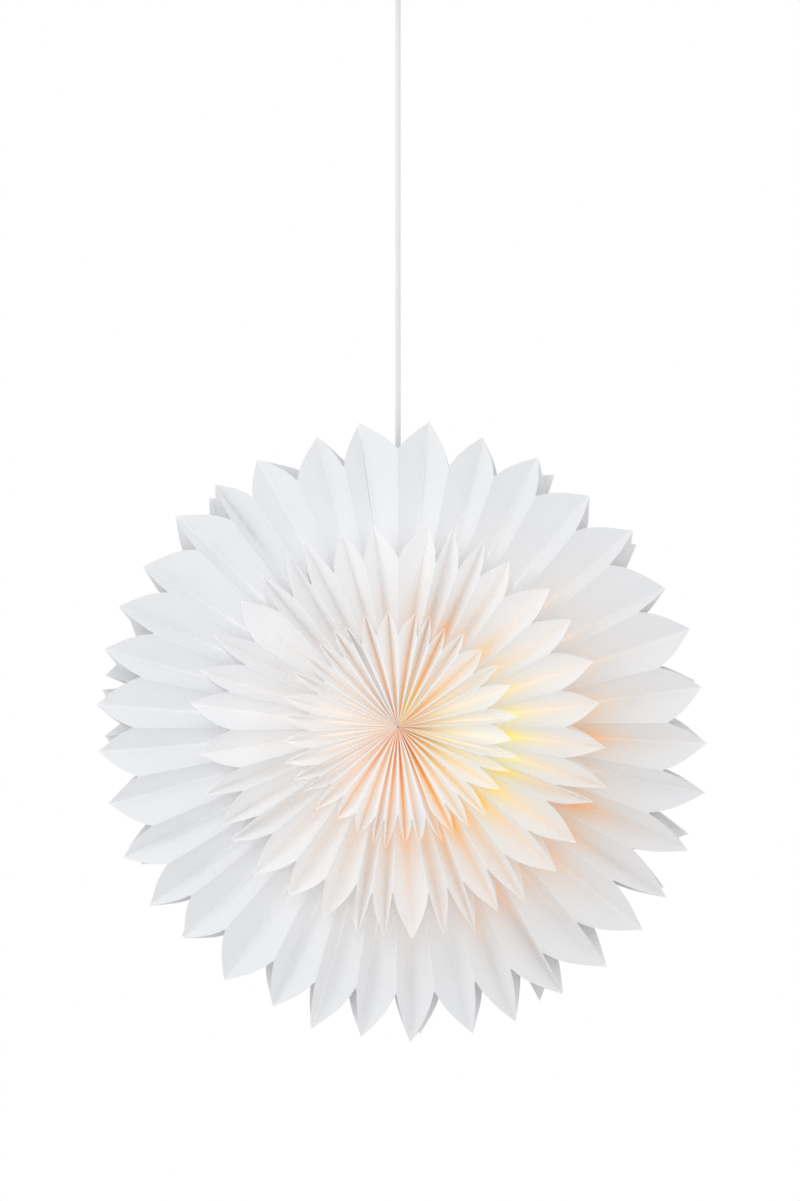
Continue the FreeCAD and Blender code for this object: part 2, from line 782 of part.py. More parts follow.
make_leaves()
make_closing_cell()
make_cores()
make_hanger()
make_cords()
make_holder()
make_lamp()
make_ceiling()
doc.recompute()

for obj in doc.Objects:
    if "Invalid" in obj.State or "Error" in obj.State:
        raise SystemExit(f"{obj.Label} failed: {obj.State}")
os.makedirs("parts", exist_ok=True)
facets = 0
for obj in NODES:
    shape = obj.Shape
    if shape.isNull() or not shape.isValid() or not shape.Solids:
        raise SystemExit(f"{obj.Label} has no valid shape")
    if min(solid.Volume for solid in shape.Solids) <= 0:
        raise SystemExit(f"{obj.Label} has a solid turned inside out")
    facets += sum(len(face.Edges) - 2 for face in shape.Faces if len(face.Edges) < 5)
    shape.exportStep(f"parts/{obj.Label}.step")
print(f"{len(NODES)} sub-parts, about {facets} facets")
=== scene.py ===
# %% [markdown]
# # A paper star pendant, dressed in Blender
#
# This lesson puts the looks on a lamp whose mechanics already exist: a ball of glued white paper leaves,
# cut to pointed petals in three steps, with a small warm lamp inside, hanging on a flex from a ceiling cup.
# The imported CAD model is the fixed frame. Every piece made here is in metres, in the frame's own place, and
# rides on one of its bodies, so that it moves when the lamp swings.

import json
import math

import bpy
import numpy as np
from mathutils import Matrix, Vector


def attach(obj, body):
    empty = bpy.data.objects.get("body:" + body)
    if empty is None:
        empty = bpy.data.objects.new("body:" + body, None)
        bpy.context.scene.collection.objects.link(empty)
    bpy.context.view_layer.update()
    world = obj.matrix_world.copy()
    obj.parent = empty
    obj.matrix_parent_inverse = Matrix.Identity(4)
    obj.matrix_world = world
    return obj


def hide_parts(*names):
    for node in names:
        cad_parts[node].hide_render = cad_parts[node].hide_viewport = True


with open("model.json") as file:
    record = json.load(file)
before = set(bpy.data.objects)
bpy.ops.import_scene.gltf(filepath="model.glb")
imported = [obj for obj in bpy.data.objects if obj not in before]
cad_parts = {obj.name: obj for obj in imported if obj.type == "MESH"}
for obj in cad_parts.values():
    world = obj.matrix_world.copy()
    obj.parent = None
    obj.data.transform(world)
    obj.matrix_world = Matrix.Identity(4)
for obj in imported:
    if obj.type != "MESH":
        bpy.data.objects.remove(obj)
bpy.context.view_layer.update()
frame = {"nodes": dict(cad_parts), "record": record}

# %% [markdown]
# ## Where things are
#
# The star's own axis is Y and its front faces -Y. A place on the paper is given by three numbers: a radius
# from that axis, an angle in the X-Z plane counted anticlockwise from +X as seen from the front, and a line.
# Lines are the glue lines and folds of the honeycomb, numbered from 0 in the middle to 6 at the front and -6
# at the back. Odd lines are the seams where two leaves are glued together, even lines are the folds.

# %% Sizes shared with the frame
STAR_HEIGHT = -0.762
PIVOT_HEIGHT = -0.0383
LEAF_COUNT = 35
CLOSING_ANGLE = 12.3
OUTER_TIP = 0.299
CORE_RADIUS = 0.0009
TIERS = {5: (0.012, 0.084, 0.110), 3: (0.070, 0.159, 0.198), 1: (0.084, 0.257, 0.299)}
GLUE_FILM = 0.00001
PAPER_WALL = 0.0003
WALL_GROWTH = 0.5
LINE_SPACING, SPACING_TAPER = 0.035, 0.043


def line_spacing(radius):
    """Distance along Y between neighbouring lines: they draw together towards the petals' tips."""
    return LINE_SPACING - SPACING_TAPER * radius


def wall_at(radius):
    """The paper's thickness as drawn, which grows by half from the axis to the rim."""
    return PAPER_WALL * (1 + WALL_GROWTH * radius / OUTER_TIP)


print("tiers of petals:", len(TIERS), "leaves:", LEAF_COUNT)


# %% [markdown]
# The leaves aren't evenly spread: gravity and the glued closing cell let them gape at the top and crowd
# elsewhere, so each leaf's share of the circle follows two slow waves.

# %% Angles of seams and folds
TOP = 90
PITCH_WAVES = ((0.066, 1, 85), (0.063, 2, 54))


def leaf_angles():
    """Seam angles between the leaves, and the fold angle in the middle of each leaf, in degrees."""
    first = TOP + CLOSING_ANGLE / 2
    left = 360 - CLOSING_ANGLE
    middles = first + (np.arange(LEAF_COUNT) + 0.5) * left / LEAF_COUNT
    share = 1
    for height, count, crest in PITCH_WAVES:
        share = share + height * np.cos(count * np.radians(middles - crest))
    pitches = left * share / share.sum()
    seams = first + np.concatenate([[0], np.cumsum(pitches)])
    return seams, (seams[:-1] + seams[1:]) / 2


SEAMS, FOLDS = leaf_angles()
widths = np.diff(SEAMS)
print("widest and narrowest leaf:", round(float(widths.max()), 2), round(float(widths.min()), 2), "degrees")

# %% [markdown]
# ## The camera
#
# The photograph was taken from the height of the star's middle, with a long lens, and the frame reaches far
# above the star to show the flex. A shift lifts the frame without tilting the camera, so the star's axis
# still points straight at it.

# %% Camera
CAMERA_DISTANCE = 3.0
METRES_PER_PIXEL = 0.000974
IMAGE_WIDTH, IMAGE_HEIGHT = 800, 1201
AXIS_PIXEL = (398, 727)


def add_camera():
    """A long lens at the star's height, in front of it."""
    data = bpy.data.cameras.new("photo_camera")
    data.sensor_width = 36
    data.lens = data.sensor_width * CAMERA_DISTANCE / (IMAGE_HEIGHT * METRES_PER_PIXEL)
    data.shift_x = (IMAGE_WIDTH / 2 - AXIS_PIXEL[0]) / IMAGE_HEIGHT
    data.shift_y = (AXIS_PIXEL[1] - IMAGE_HEIGHT / 2) / IMAGE_HEIGHT
    camera = bpy.data.objects.new("photo_camera", data)
    camera.location = (0, -CAMERA_DISTANCE - line_spacing(OUTER_TIP), STAR_HEIGHT)
    camera.rotation_euler = (math.radians(90), 0, 0)
    bpy.context.collection.objects.link(camera)
    bpy.context.scene.camera = camera
    return camera


camera = add_camera()
print("lens:", round(camera.data.lens, 1), "mm")

# %% [markdown]
# ## The flex
#
# The star hangs on its own round flex, so the flex is straight from the ceiling cup down to the lampholder,
# where it leans with the lamp. It is one curve with few points: a curve that is round in section and follows
# a smooth spline bends as a real flex does, without any corner.

# %% The hanging flex
FLEX_DIAMETER = 0.0054
LAMP_DOWN = np.array([0.309017, 0, -0.951057])
BEND = np.array([0, 0, -0.699312])
BEND_LEAD = 0.021


def flex_curve(name, points):
    """A round flex along one open spline whose control points are given."""
    curve = bpy.data.curves.new(name, "CURVE")
    curve.dimensions = "3D"
    curve.bevel_depth = 1.0
    curve.bevel_resolution = 6
    curve.resolution_u = 24
    curve.use_fill_caps = True
    spline = curve.splines.new("NURBS")
    spline.points.add(len(points) - 1)
    for point, place in zip(spline.points, points):
        point.co = (*place, 1)
        point.radius = FLEX_DIAMETER / 2
    spline.order_u = 3
    spline.use_endpoint_u = True
    flex = bpy.data.objects.new(name, curve)
    bpy.context.collection.objects.link(flex)
    return flex


flex_top = (0, 0, PIVOT_HEIGHT)
flex_points = [flex_top, (0, 0, BEND[2] + BEND_LEAD), tuple(BEND), tuple(BEND + BEND_LEAD * LAMP_DOWN)]
hanging_flex = flex_curve("hanging_flex", flex_points)
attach(hanging_flex, "pendant")
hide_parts("cord")
print("flex control points:", len(flex_points))

# %% [markdown]
# ## Shared effects
#
# An effect that several finishes need is a node group with named inputs. It puts out only colours, masks and
# normals, and each material keeps its own shader. The first one is the fine mottle and fibre of a surface:
# two noises of different scale, which shift the colour a little and lift a small bump.

# %% Tools for building node trees
def new_group(name, inputs, outputs):
    """A shader node group with its sockets, its input node and its output node."""
    group = bpy.data.node_groups.new(name, "ShaderNodeTree")
    for kind, label, value in inputs:
        socket = group.interface.new_socket(label, in_out="INPUT", socket_type=kind)
        socket.default_value = value
    for kind, label in outputs:
        group.interface.new_socket(label, in_out="OUTPUT", socket_type=kind)
    return group, group.nodes.new("NodeGroupInput"), group.nodes.new("NodeGroupOutput")


def add_node(tree, kind, values=(), **settings):
    """A node with its settings and its input values."""
    made = tree.nodes.new(kind)
    for key, value in settings.items():
        setattr(made, key, value)
    for socket, value in dict(values).items():
        made.inputs[socket].default_value = value
    return made


def mix_colour(tree, blend, factor=None):
    """A Mix node for colours. Its colour inputs are sockets 6 and 7, and its result is socket 2."""
    made = add_node(tree, "ShaderNodeMix", data_type="RGBA", blend_type=blend)
    if factor is not None:
        made.inputs["Factor"].default_value = factor
    return made


FLOAT, COLOUR, VECTOR = "NodeSocketFloat", "NodeSocketColor", "NodeSocketVector"


# %% Mottle group
def build_mottle():
    """Surface Mottle: object coordinates to a slightly uneven colour and a bumped normal."""
    group, source, sink = new_group(
        "Surface Mottle",
        [
            (COLOUR, "Colour", (0.8, 0.8, 0.8, 1)),
            (FLOAT, "Cloud Scale", 20.0),
            (FLOAT, "Grain Scale", 900.0),
            (FLOAT, "Unevenness", 0.03),
            (FLOAT, "Bump", 0.1),
        ],
        [(COLOUR, "Colour"), (VECTOR, "Normal"), (FLOAT, "Grain")],
    )
    place = add_node(group, "ShaderNodeTexCoord")
    cloud = add_node(group, "ShaderNodeTexNoise", {"Detail": 4.0, "Roughness": 0.6})
    grain = add_node(group, "ShaderNodeTexNoise", {"Detail": 3.0, "Roughness": 0.7})
    for noise, scale in ((cloud, "Cloud Scale"), (grain, "Grain Scale")):
        group.links.new(place.outputs["Object"], noise.inputs["Vector"])
        group.links.new(source.outputs[scale], noise.inputs["Scale"])
    both = add_node(group, "ShaderNodeMath", operation="ADD")
    group.links.new(cloud.outputs["Fac"], both.inputs[0])
    group.links.new(grain.outputs["Fac"], both.inputs[1])
    around_zero = add_node(group, "ShaderNodeMath", {1: 1.0}, operation="SUBTRACT")
    group.links.new(both.outputs[0], around_zero.inputs[0])
    shift = add_node(group, "ShaderNodeMath", operation="MULTIPLY")
    group.links.new(around_zero.outputs[0], shift.inputs[0])
    group.links.new(source.outputs["Unevenness"], shift.inputs[1])
    value = add_node(group, "ShaderNodeMath", {1: 1.0}, operation="ADD")
    group.links.new(shift.outputs[0], value.inputs[0])
    shade = add_node(group, "ShaderNodeHueSaturation")
    group.links.new(source.outputs["Colour"], shade.inputs["Color"])
    group.links.new(value.outputs[0], shade.inputs["Value"])
    bump = add_node(group, "ShaderNodeBump", {"Distance": 0.0004})
    group.links.new(grain.outputs["Fac"], bump.inputs["Height"])
    group.links.new(source.outputs["Bump"], bump.inputs["Strength"])
    group.links.new(shade.outputs["Color"], sink.inputs["Colour"])
    group.links.new(bump.outputs["Normal"], sink.inputs["Normal"])
    group.links.new(grain.outputs["Fac"], sink.inputs["Grain"])
    return group


surface_mottle = build_mottle()
print("group:", surface_mottle.name)

# %% [markdown]
# The paper carries the lamp's light. Each vertex stores how much of it arrives, how hot it is and how much
# has gone from wall to wall until it is plain white. This group turns the three numbers into a tint that
# multiplies the paper's white and a glow that is added to it. Cool places take a peach tint, and the hottest,
# next to the lamp, a yellow one.

# %% Lamplight group
def build_lamplight():
    """Lamplight: stored light (red its amount, green its heat, blue the plain part) to a tint and a glow."""
    group, source, sink = new_group(
        "Lamplight",
        [
            (COLOUR, "Stored Light", (0, 0, 0, 1)),
            (COLOUR, "Cool Light", (1.0, 0.45, 0.0, 1)),
            (COLOUR, "Hot Light", (1.0, 0.86, 0.0, 1)),
            (FLOAT, "Plain Glow", 0.13),
            (FLOAT, "Lamp Glow", 0.12),
        ],
        [(COLOUR, "Tint"), (COLOUR, "Glow")],
    )
    parts = add_node(group, "ShaderNodeSeparateColor")
    group.links.new(source.outputs["Stored Light"], parts.inputs["Color"])
    hue = mix_colour(group, "MIX")
    group.links.new(parts.outputs["Green"], hue.inputs["Factor"])
    group.links.new(source.outputs["Cool Light"], hue.inputs[6])
    group.links.new(source.outputs["Hot Light"], hue.inputs[7])
    tint = mix_colour(group, "MIX")
    tint.inputs[6].default_value = (1, 1, 1, 1)
    group.links.new(parts.outputs["Red"], tint.inputs["Factor"])
    group.links.new(hue.outputs[2], tint.inputs[7])
    plain = add_node(group, "ShaderNodeMath", operation="MULTIPLY")
    group.links.new(parts.outputs["Blue"], plain.inputs[0])
    group.links.new(source.outputs["Plain Glow"], plain.inputs[1])
    strength = add_node(group, "ShaderNodeMath", operation="MULTIPLY_ADD")
    group.links.new(parts.outputs["Red"], strength.inputs[0])
    group.links.new(source.outputs["Lamp Glow"], strength.inputs[1])
    group.links.new(plain.outputs[0], strength.inputs[2])
    glow = mix_colour(group, "MULTIPLY", 1.0)
    group.links.new(tint.outputs[2], glow.inputs[6])
    group.links.new(strength.outputs[0], glow.inputs[7])
    group.links.new(tint.outputs[2], sink.inputs["Tint"])
    group.links.new(glow.outputs[2], sink.inputs["Glow"])
    return group


lamplight = build_lamplight()
print("group:", lamplight.name)

# %% [markdown]
# ## The paper's finish
#
# White card of about 200 grams: matt, very slightly cool, with a fine tooth and faint clouds where the
# fibres lie thicker. A plain white would look like plastic, and a picture of paper would need a file, so the
# tooth and the clouds come from the mottle group, and the lamplight group warms them.

# %% Paper material
def new_material(name, **sockets):
    """A material with its Principled BSDF and the plain values of its sockets."""
    material = bpy.data.materials.new(name)
    material.use_nodes = True
    shader = material.node_tree.nodes["Principled BSDF"]
    for socket, value in sockets.items():
        shader.inputs[socket.replace("_", " ")].default_value = value
    return material, material.node_tree, shader


def place_group(tree, group, values=()):
    """A copy of a shared group inside a material."""
    placed = add_node(tree, "ShaderNodeGroup", node_tree=group)
    for socket, value in dict(values).items():
        placed.inputs[socket].default_value = value
    return placed


def paper_material():
    """Matt white card lit from inside."""
    material, tree, shader = new_material("folded_paper", Roughness=0.85, Specular_IOR_Level=0.25)
    mottle = place_group(
        tree,
        surface_mottle,
        {
            "Colour": (0.87, 0.873, 0.88, 1),
            "Cloud Scale": 28,
            "Grain Scale": 1100,
            "Unevenness": 0.02,
            "Bump": 0.12,
        },
    )
    stored = add_node(tree, "ShaderNodeAttribute", attribute_name="lamplight")
    light = place_group(tree, lamplight, {"Plain Glow": 0.13, "Lamp Glow": 0.12})
    tree.links.new(stored.outputs["Color"], light.inputs["Stored Light"])
    tinted = mix_colour(tree, "MULTIPLY", 1.0)
    tree.links.new(mottle.outputs["Colour"], tinted.inputs[6])
    tree.links.new(light.outputs["Tint"], tinted.inputs[7])
    tree.links.new(tinted.outputs[2], shader.inputs["Base Color"])
    tree.links.new(mottle.outputs["Normal"], shader.inputs["Normal"])
    tree.links.new(light.outputs["Glow"], shader.inputs["Emission Color"])
    shader.inputs["Emission Strength"].default_value = 1.0
    return material


folded_paper = paper_material()
print("material:", folded_paper.name)

# %% [markdown]
# ## How paper strays
#
# No glue line of a real paper ball is quite straight. Near the axis the leaves are held, and further out they
# wander: by slow waves that neighbours share, and by a little chance of their own. The inner petals' lines
# leave their place early, so that those petals bunch and spread, and the rim's only near their tips. Behind,
# most lines keep their place and a few leave it, so that here and there a petal peeps out between those in
# front. The chance has a fixed seed, so the same star comes out each time.

# %% Wandering lines
chance = np.random.default_rng(36)
LINES = range(-6, 7)
LINE_REACH = {0: 0.257, 1: 0.299, 2: 0.257, 3: 0.198, 4: 0.159, 5: 0.110, 6: 0.084}
OUTER_WAVES = ((0.4, 5, 1.0), (0.3, 11, 4.0))
INNER_WAVES = ((3.2, 2, 0.0), (2.1, 5, 4.1), (1.2, 8, 5.3))
BACK_WAVES = ((1.0, 9, 0.6), (0.6, 4, 2.2))
BACK_LIMIT = 3.2
FRONT_CHANCE, CHANCE_PER_LINE = 0.7, 0.08
HELD_RADIUS = 0.004


def line_chance(line):
    """Each seam's or fold's own straying in degrees. Behind, most stay put and a few leave their place."""
    own = chance.normal(0, 1, LEAF_COUNT + 1)
    if line < 0:
        return np.clip(own**3, -BACK_LIMIT, BACK_LIMIT)
    return (FRONT_CHANCE + CHANCE_PER_LINE * line) * own


SEAM_CHANCE = {line: line_chance(line) for line in LINES}
FOLD_CHANCE = {line: line_chance(line) for line in LINES}


def stray(line, angle, luck, radius):
    """Degrees by which a line leaves its place. The rim's lines stray at their tips, inner ones all along."""
    early = np.clip(line / 6, 0.02, 1)
    grown = np.clip((radius - HELD_RADIUS) / LINE_REACH[abs(line)], 0, 1) ** (1.3 - early)
    back = np.clip(-line / 2 + 0.25, 0, 1)
    inner = np.clip(line / 2 - 0.5, 0, 1)
    total = luck
    for waves, weight in ((OUTER_WAVES, 1 - back - inner), (INNER_WAVES, inner), (BACK_WAVES, back)):
        for height, count, phase in waves:
            total = total + weight * height * np.sin(count * np.radians(angle) + phase)
    return grown * total


def seam_at(index, line, radius):
    """Angle of a seam between leaves, at a line and a radius."""
    return SEAMS[index] + stray(line, SEAMS[index], SEAM_CHANCE[line][index], radius)


def fold_at(index, line, radius):
    """Angle of the fold in the middle of a leaf, at a line and a radius."""
    return FOLDS[index] + stray(line, FOLDS[index], FOLD_CHANCE[line][index], radius)


most = BACK_LIMIT + sum(height for height, count, phase in BACK_WAVES)
print("back lines stray by up to", round(most, 1), "degrees")

# %% [markdown]
# ## The petals' outline
#
# Each petal is two half petals glued at a seam. Its edge runs from a notch on one fold, out to the tip on the
# seam, and back to the next notch, a little convex like a leaf. Tips reach further at the lower right.

# %% Petal edge
PETAL_BULGE = 0.5
REAR_SHORTER = 0.003
OUTLINE_WAVES = ((0.0055, 1, 310), (0.0038, 2, 130))
TIP_SPREAD, NOTCH_SPREAD = 0.0025, 0.0022
SIDES = [(tier, back) for tier in TIERS for back in (False, True)]
TIP_CHANCE = {side: chance.normal(0, TIP_SPREAD, LEAF_COUNT + 1) for side in SIDES}
NOTCH_CHANCE = {side: chance.normal(0, NOTCH_SPREAD, LEAF_COUNT + 1) for side in SIDES}


def tip_radius(tier, index, back):
    """Radius of the tip on a seam: the star's outline isn't quite round, and each tip differs a little."""
    reach = TIERS[tier][2] - (REAR_SHORTER if back else 0)
    swell = 0
    for height, count, crest in OUTLINE_WAVES:
        swell += height * math.cos(count * math.radians(SEAMS[index] - crest))
    return reach + swell * reach / OUTER_TIP + TIP_CHANCE[(tier, back)][index]


def notch_radius(tier, index, back):
    """Radius of the notch on a leaf's fold."""
    return TIERS[tier][1] + NOTCH_CHANCE[(tier, back)][index]


def petal_edge(across):
    """Share of the way from notch radius to tip radius, for a share of the width from fold to seam."""
    return across + PETAL_BULGE * across * (1 - across) ** 2


print("outer tips reach", round(tip_radius(1, 0, False) * 1000), "mm at the top")

# %% [markdown]
# ## One paper tube
#
# A leaf is a row of six tubes, each a pinched diamond in section: fold, seam, fold, seam. Glued paper leaves
# its glue line straight and only then swings across, so a wall's section is an S, not a straight line. Card
# doesn't fold to a knife edge either: each fold keeps a narrow blunt ridge, which catches the light. A flat
# sheet could be folded and given thickness by modifiers, but the stepped petals and straying lines are easier
# to say as numbers, so the tube is drawn as a grid: columns round the diamond, rows from its foot out to the
# petals' edge. The grid is laid twice, outside and inside the paper, and joined at both ends, so the paper
# has its thickness.

# %% Grid of a tube
WALL_COLUMNS = 8
TUBE_ROWS = 14
S_CURVE = 0.22
RIDGE_WIDTH = 0.0009
WIDEST_RIDGE = 0.2
LEAST_INSIDE = 0.25


def wall_shares():
    """Columns round the tube: for each, which fold and seam its wall joins, and how far along it is."""
    steps = np.arange(WALL_COLUMNS) / WALL_COLUMNS
    columns = []
    for fold_side, first_seam, second_seam in ((1, 0, 1), (-1, 1, 0)):
        columns += [(fold_side, first_seam, share) for share in (1 - steps)]
        columns += [(fold_side, first_seam, 0.0), (fold_side, second_seam, 0.0)]
        columns += [(fold_side, second_seam, share) for share in steps[1:]]
    return columns


def s_curve(share):
    """Width covered at a share of the depth: slow at both glue lines, quick between."""
    return share - S_CURVE * np.sin(2 * math.pi * share) / (2 * math.pi)


COLUMNS = wall_shares()
print("columns round a tube:", len(COLUMNS), "rows:", TUBE_ROWS + 1)


# %% Corners of a tube
def tube_grid(line, seam_angle, fold_angle, tips, notches, bows):
    """Points of a tube as arrays of radius, angle and depth, and the share of each wall, by row and column.

    seam_angle(side, radius) and fold_angle(fold_line, radius) give the corners' angles."""
    tier = abs(line)
    foot = CORE_RADIUS if tier == 5 else TIERS[tier][0]
    rows = np.linspace(0, 1, TUBE_ROWS + 1)[:, None]
    shape = (TUBE_ROWS + 1, len(COLUMNS))
    radius, angle, depth, share = (np.zeros(shape) for _ in range(4))
    for column, (fold_side, seam_side, along) in enumerate(COLUMNS):
        across = s_curve(along)
        edge = notches + (tips[seam_side] - notches) * petal_edge(across)
        r = foot + (edge - foot) * rows[:, 0]
        fold_line = line + fold_side
        a_fold = fold_angle(fold_line, r)
        a_seam = seam_angle(seam_side, r)
        y_fold = -fold_line * line_spacing(r)
        y_seam = -line * line_spacing(r)
        bow = bows[(fold_side, seam_side)] * math.sin(math.pi * along) * (r / OUTER_TIP)
        swing = a_seam - a_fold
        ridge = np.sign(swing) * np.minimum(np.degrees(RIDGE_WIDTH / 2 / r), WIDEST_RIDGE * np.abs(swing))
        radius[:, column] = r
        angle[:, column] = a_fold + ridge * (1 - across) + across * swing
        depth[:, column] = y_fold + along * (y_seam - y_fold) + bow
        share[:, column] = along
    return radius, angle, depth, share


def thickened(radius, angle, depth, line, seam_angle):
    """The outer and the inner face of the paper, each drawn in towards the tube's middle."""
    middle_angle = (seam_angle(0, radius) + seam_angle(1, radius)) / 2
    middle_depth = -line * line_spacing(radius)
    half_width = radius * np.radians(np.abs(seam_angle(1, radius) - seam_angle(0, radius))) / 2
    faces = []
    for inset in (GLUE_FILM, GLUE_FILM + wall_at(radius)):
        left = np.clip(1 - inset / half_width, LEAST_INSIDE, 1)
        layer_angle = middle_angle + (angle - middle_angle) * left
        faces.append((layer_angle, middle_depth + (depth - middle_depth) * left))
    return faces


# %% [markdown]
# ## Where the lamp's light falls
#
# The lamp hangs a little right of the middle. Its light leaves the ball between the tiers, so the paper is
# warm at each tier's foot, next to the tips of the tier in front, and in the deep seams, and white on the
# ridges and at the petals' ends. Right of the middle it is hottest. Real light through paper would take long
# to render and come out noisy, so the light is worked out for each vertex from its radius, its angle and its
# place between ridge and seam. The numbers were set ring by ring, until the render came near the photograph.

# %% Stored light
def lobe(angle, middle, power):
    """One at an angle from the axis, falling smoothly to nothing on the other side."""
    return (0.5 + 0.5 * np.cos(np.radians(angle - middle))) ** power


def fading(radius, start, length):
    """One up to a radius, then falling by a factor e over each length."""
    return np.exp(-np.clip(radius - start, 0, 1) / length)


def evenness(angle):
    """One at the right and left, where light from both sides evens out the pleats, and low between."""
    return lobe(angle, 8, 5) + lobe(angle, 182, 4)


def flicker(angle):
    """The light's unevenness from one seam to the next, about one."""
    theta = np.radians(angle)
    return 1 + 0.32 * np.sin(11 * theta + 1.0) + 0.32 * np.sin(17 * theta + 2.0)


def inner_light(angle, radius, share):
    """Inner petals: amber down in the seams, but an even wash at the right and left."""
    even = evenness(angle)
    amount = 0.14 + 0.35 * lobe(angle, 293, 3) + 0.24 * lobe(angle, 58, 8)
    seams = even + (1 - even) * (0.1 + 2.9 * share**2.2) * flicker(angle)
    amount = amount * 1.15 * fading(radius, 0.015, 0.056) * seams
    heat = 0.65 * lobe(angle, 352, 6) * (1 - np.exp(-((radius / 0.03) ** 2)))
    heat = heat + 0.8 * lobe(angle, 64, 40) * np.exp(-((radius / 0.04) ** 2))
    return amount, heat


def middle_light(angle, radius, share):
    """Middle petals: a wash at the lower right, and bright spots beside the tips of the inner ones."""
    amount = (0.03 + 0.16 * lobe(angle, 325, 1.5)) * fading(radius, 0.105, 0.05 + 0.05 * lobe(angle, 325, 2))
    spots = 0.34 * lobe(angle, 345, 6) + 0.32 * lobe(angle, 300, 9) + 0.22 * lobe(angle, 63, 18)
    amount = amount + spots * flicker(angle) * fading(radius, 0.098, 0.013)
    heat = 0.9 * lobe(angle, 352, 7) * fading(radius, 0.118, 0.03)
    return amount * (0.4 + 1.2 * share), heat


def outer_light(angle, radius, share):
    """Outer petals: a little peach at their feet, at the right and lower right."""
    amount = 0.37 * lobe(angle, 335, 5) * flicker(angle) * fading(radius, 0.185, 0.031)
    return amount * (0.6 + 0.8 * share), 0 * amount


TIER_LIGHT = {5: inner_light, 3: middle_light, 1: outer_light}
print("tiers with a light of their own:", len(TIER_LIGHT))

# %% [markdown]
# The light that has gone from wall to wall has lost its colour. It is given at a few radii for the right and
# for the left of the star, and a lobe goes between the two. Each tier's feet get a little more, its tips a
# little less, and the crease where two half petals meet a touch more, so that it doesn't draw a dark line.

# %% Plain light
PLAIN_RADII = (0.015, 0.05, 0.09, 0.17, 0.205, 0.24, 0.29)
PLAIN_RIGHT = (1.4, 1.4, 1.1, 0.78, 0.55, 0.25, 0.08)
PLAIN_LEFT = (1.4, 1.3, 0.82, 0.58, 0.55, 0.22, 0.08)
FOOT_GLOW = {5: (0.0, 0.0), 3: (0.105, 0.18), 1: (0.19, 0.25)}
TIP_LOSS = {5: (0.075, 0.2), 3: (0.15, 0.22), 1: (0.25, 0.0)}
CREASE_GLOW = {5: 0.0, 3: 0.2, 1: 0.4}


def plain_light(angle, radius, share, tier):
    """The white part: strongest in the middle, and raised at each tier's feet and down in the crease."""
    right = np.interp(radius, PLAIN_RADII, PLAIN_RIGHT)
    left = np.interp(radius, PLAIN_RADII, PLAIN_LEFT)
    shadow = 0.22 * lobe(angle, 72, 5) * fading(radius, 0.12, 0.02)
    plain = right + (left - right) * lobe(angle, 190, 2) - shadow
    plain = plain * (1 - 0.2 * lobe(angle, 100, 3) * fading(radius, 0.14, 0.04))
    plain = plain * (1 - 0.2 * np.cos(2 * np.radians(angle)) * np.clip((radius - 0.15) / 0.05, 0, 1))
    plain = plain * (1 + (0.3 + 0.9 * evenness(angle)) * (share - 0.5))
    gaps = lobe(angle, 305, 1.5) + 0.3 * lobe(angle, 125, 8)
    plain = plain * (1 - 0.9 * share * gaps * flicker(angle) * np.exp(-((radius / 0.05) ** 2)))
    merging = 0.3 + 0.7 * lobe(angle, 150, 1)
    foot, glow = FOOT_GLOW[tier]
    tip, loss = TIP_LOSS[tier]
    plain = plain + merging * (glow * fading(radius, foot, 0.012) - loss * (1 - fading(radius, tip, 0.02)))
    return plain + CREASE_GLOW[tier] * share**16


def stored_light(x, z, radius, share, line):
    """The lamp's light on the paper by place in the star: tinted amount, heat and plain white part.

    share is 0 on a ridge and 1 down in the seam."""
    angle = np.degrees(np.arctan2(z, x))
    amount, heat = TIER_LIGHT[abs(line)](angle, radius, share)
    plain = plain_light(angle, radius, share, abs(line))
    return np.stack([np.clip(amount, 0, 0.95), np.clip(heat, 0, 1), np.clip(plain, 0, 2.4)], axis=-1)


print("plain light from the middle out, on the right:", PLAIN_RIGHT)

# %% [markdown]
# ## Meshes from grids
#
# A leaf's six tubes are joined into one mesh. The mesh gets its faces from the grids, smooth shading that
# breaks at the folds, and the lamp's light as a colour on its vertices.

# %% Mesh of several tubes
FOLD_SHARPNESS = 24


def ring_faces(first, rows, columns, flip):
    """Quads of a grid that closes round its columns."""
    faces = []
    for row in range(rows):
        for column in range(columns):
            after = (column + 1) % columns
            quad = [
                first + row * columns + column,
                first + row * columns + after,
                first + (row + 1) * columns + after,
                first + (row + 1) * columns + column,
            ]
            faces.append(quad[::-1] if flip else quad)
    return faces


def tube_parts(line, grid, seam_angle, turn):
    """Vertices, faces and stored light of one tube, its outer face first and then its inner face."""
    radius, angle, depth, share = grid
    points, lights = [], []
    for layer_angle, layer_depth in thickened(radius, angle, depth, line, seam_angle):
        theta = np.radians(layer_angle)
        x, z = radius * np.cos(theta), radius * np.sin(theta)
        points.append(np.stack([x, layer_depth, z + STAR_HEIGHT], axis=-1).reshape(-1, 3))
        lights.append(stored_light(x, z, radius, share, line).reshape(-1, 3))
    rows, columns = TUBE_ROWS, len(COLUMNS)
    count = (rows + 1) * columns
    faces = ring_faces(0, rows, columns, turn) + ring_faces(count, rows, columns, not turn)
    for row, flip in ((0, turn), (rows, not turn)):
        for column in range(columns):
            after = (column + 1) % columns
            quad = [row * columns + column, count + row * columns + column]
            quad += [count + row * columns + after, row * columns + after]
            faces.append(quad if flip else quad[::-1])
    return np.concatenate(points), faces, np.concatenate(lights)


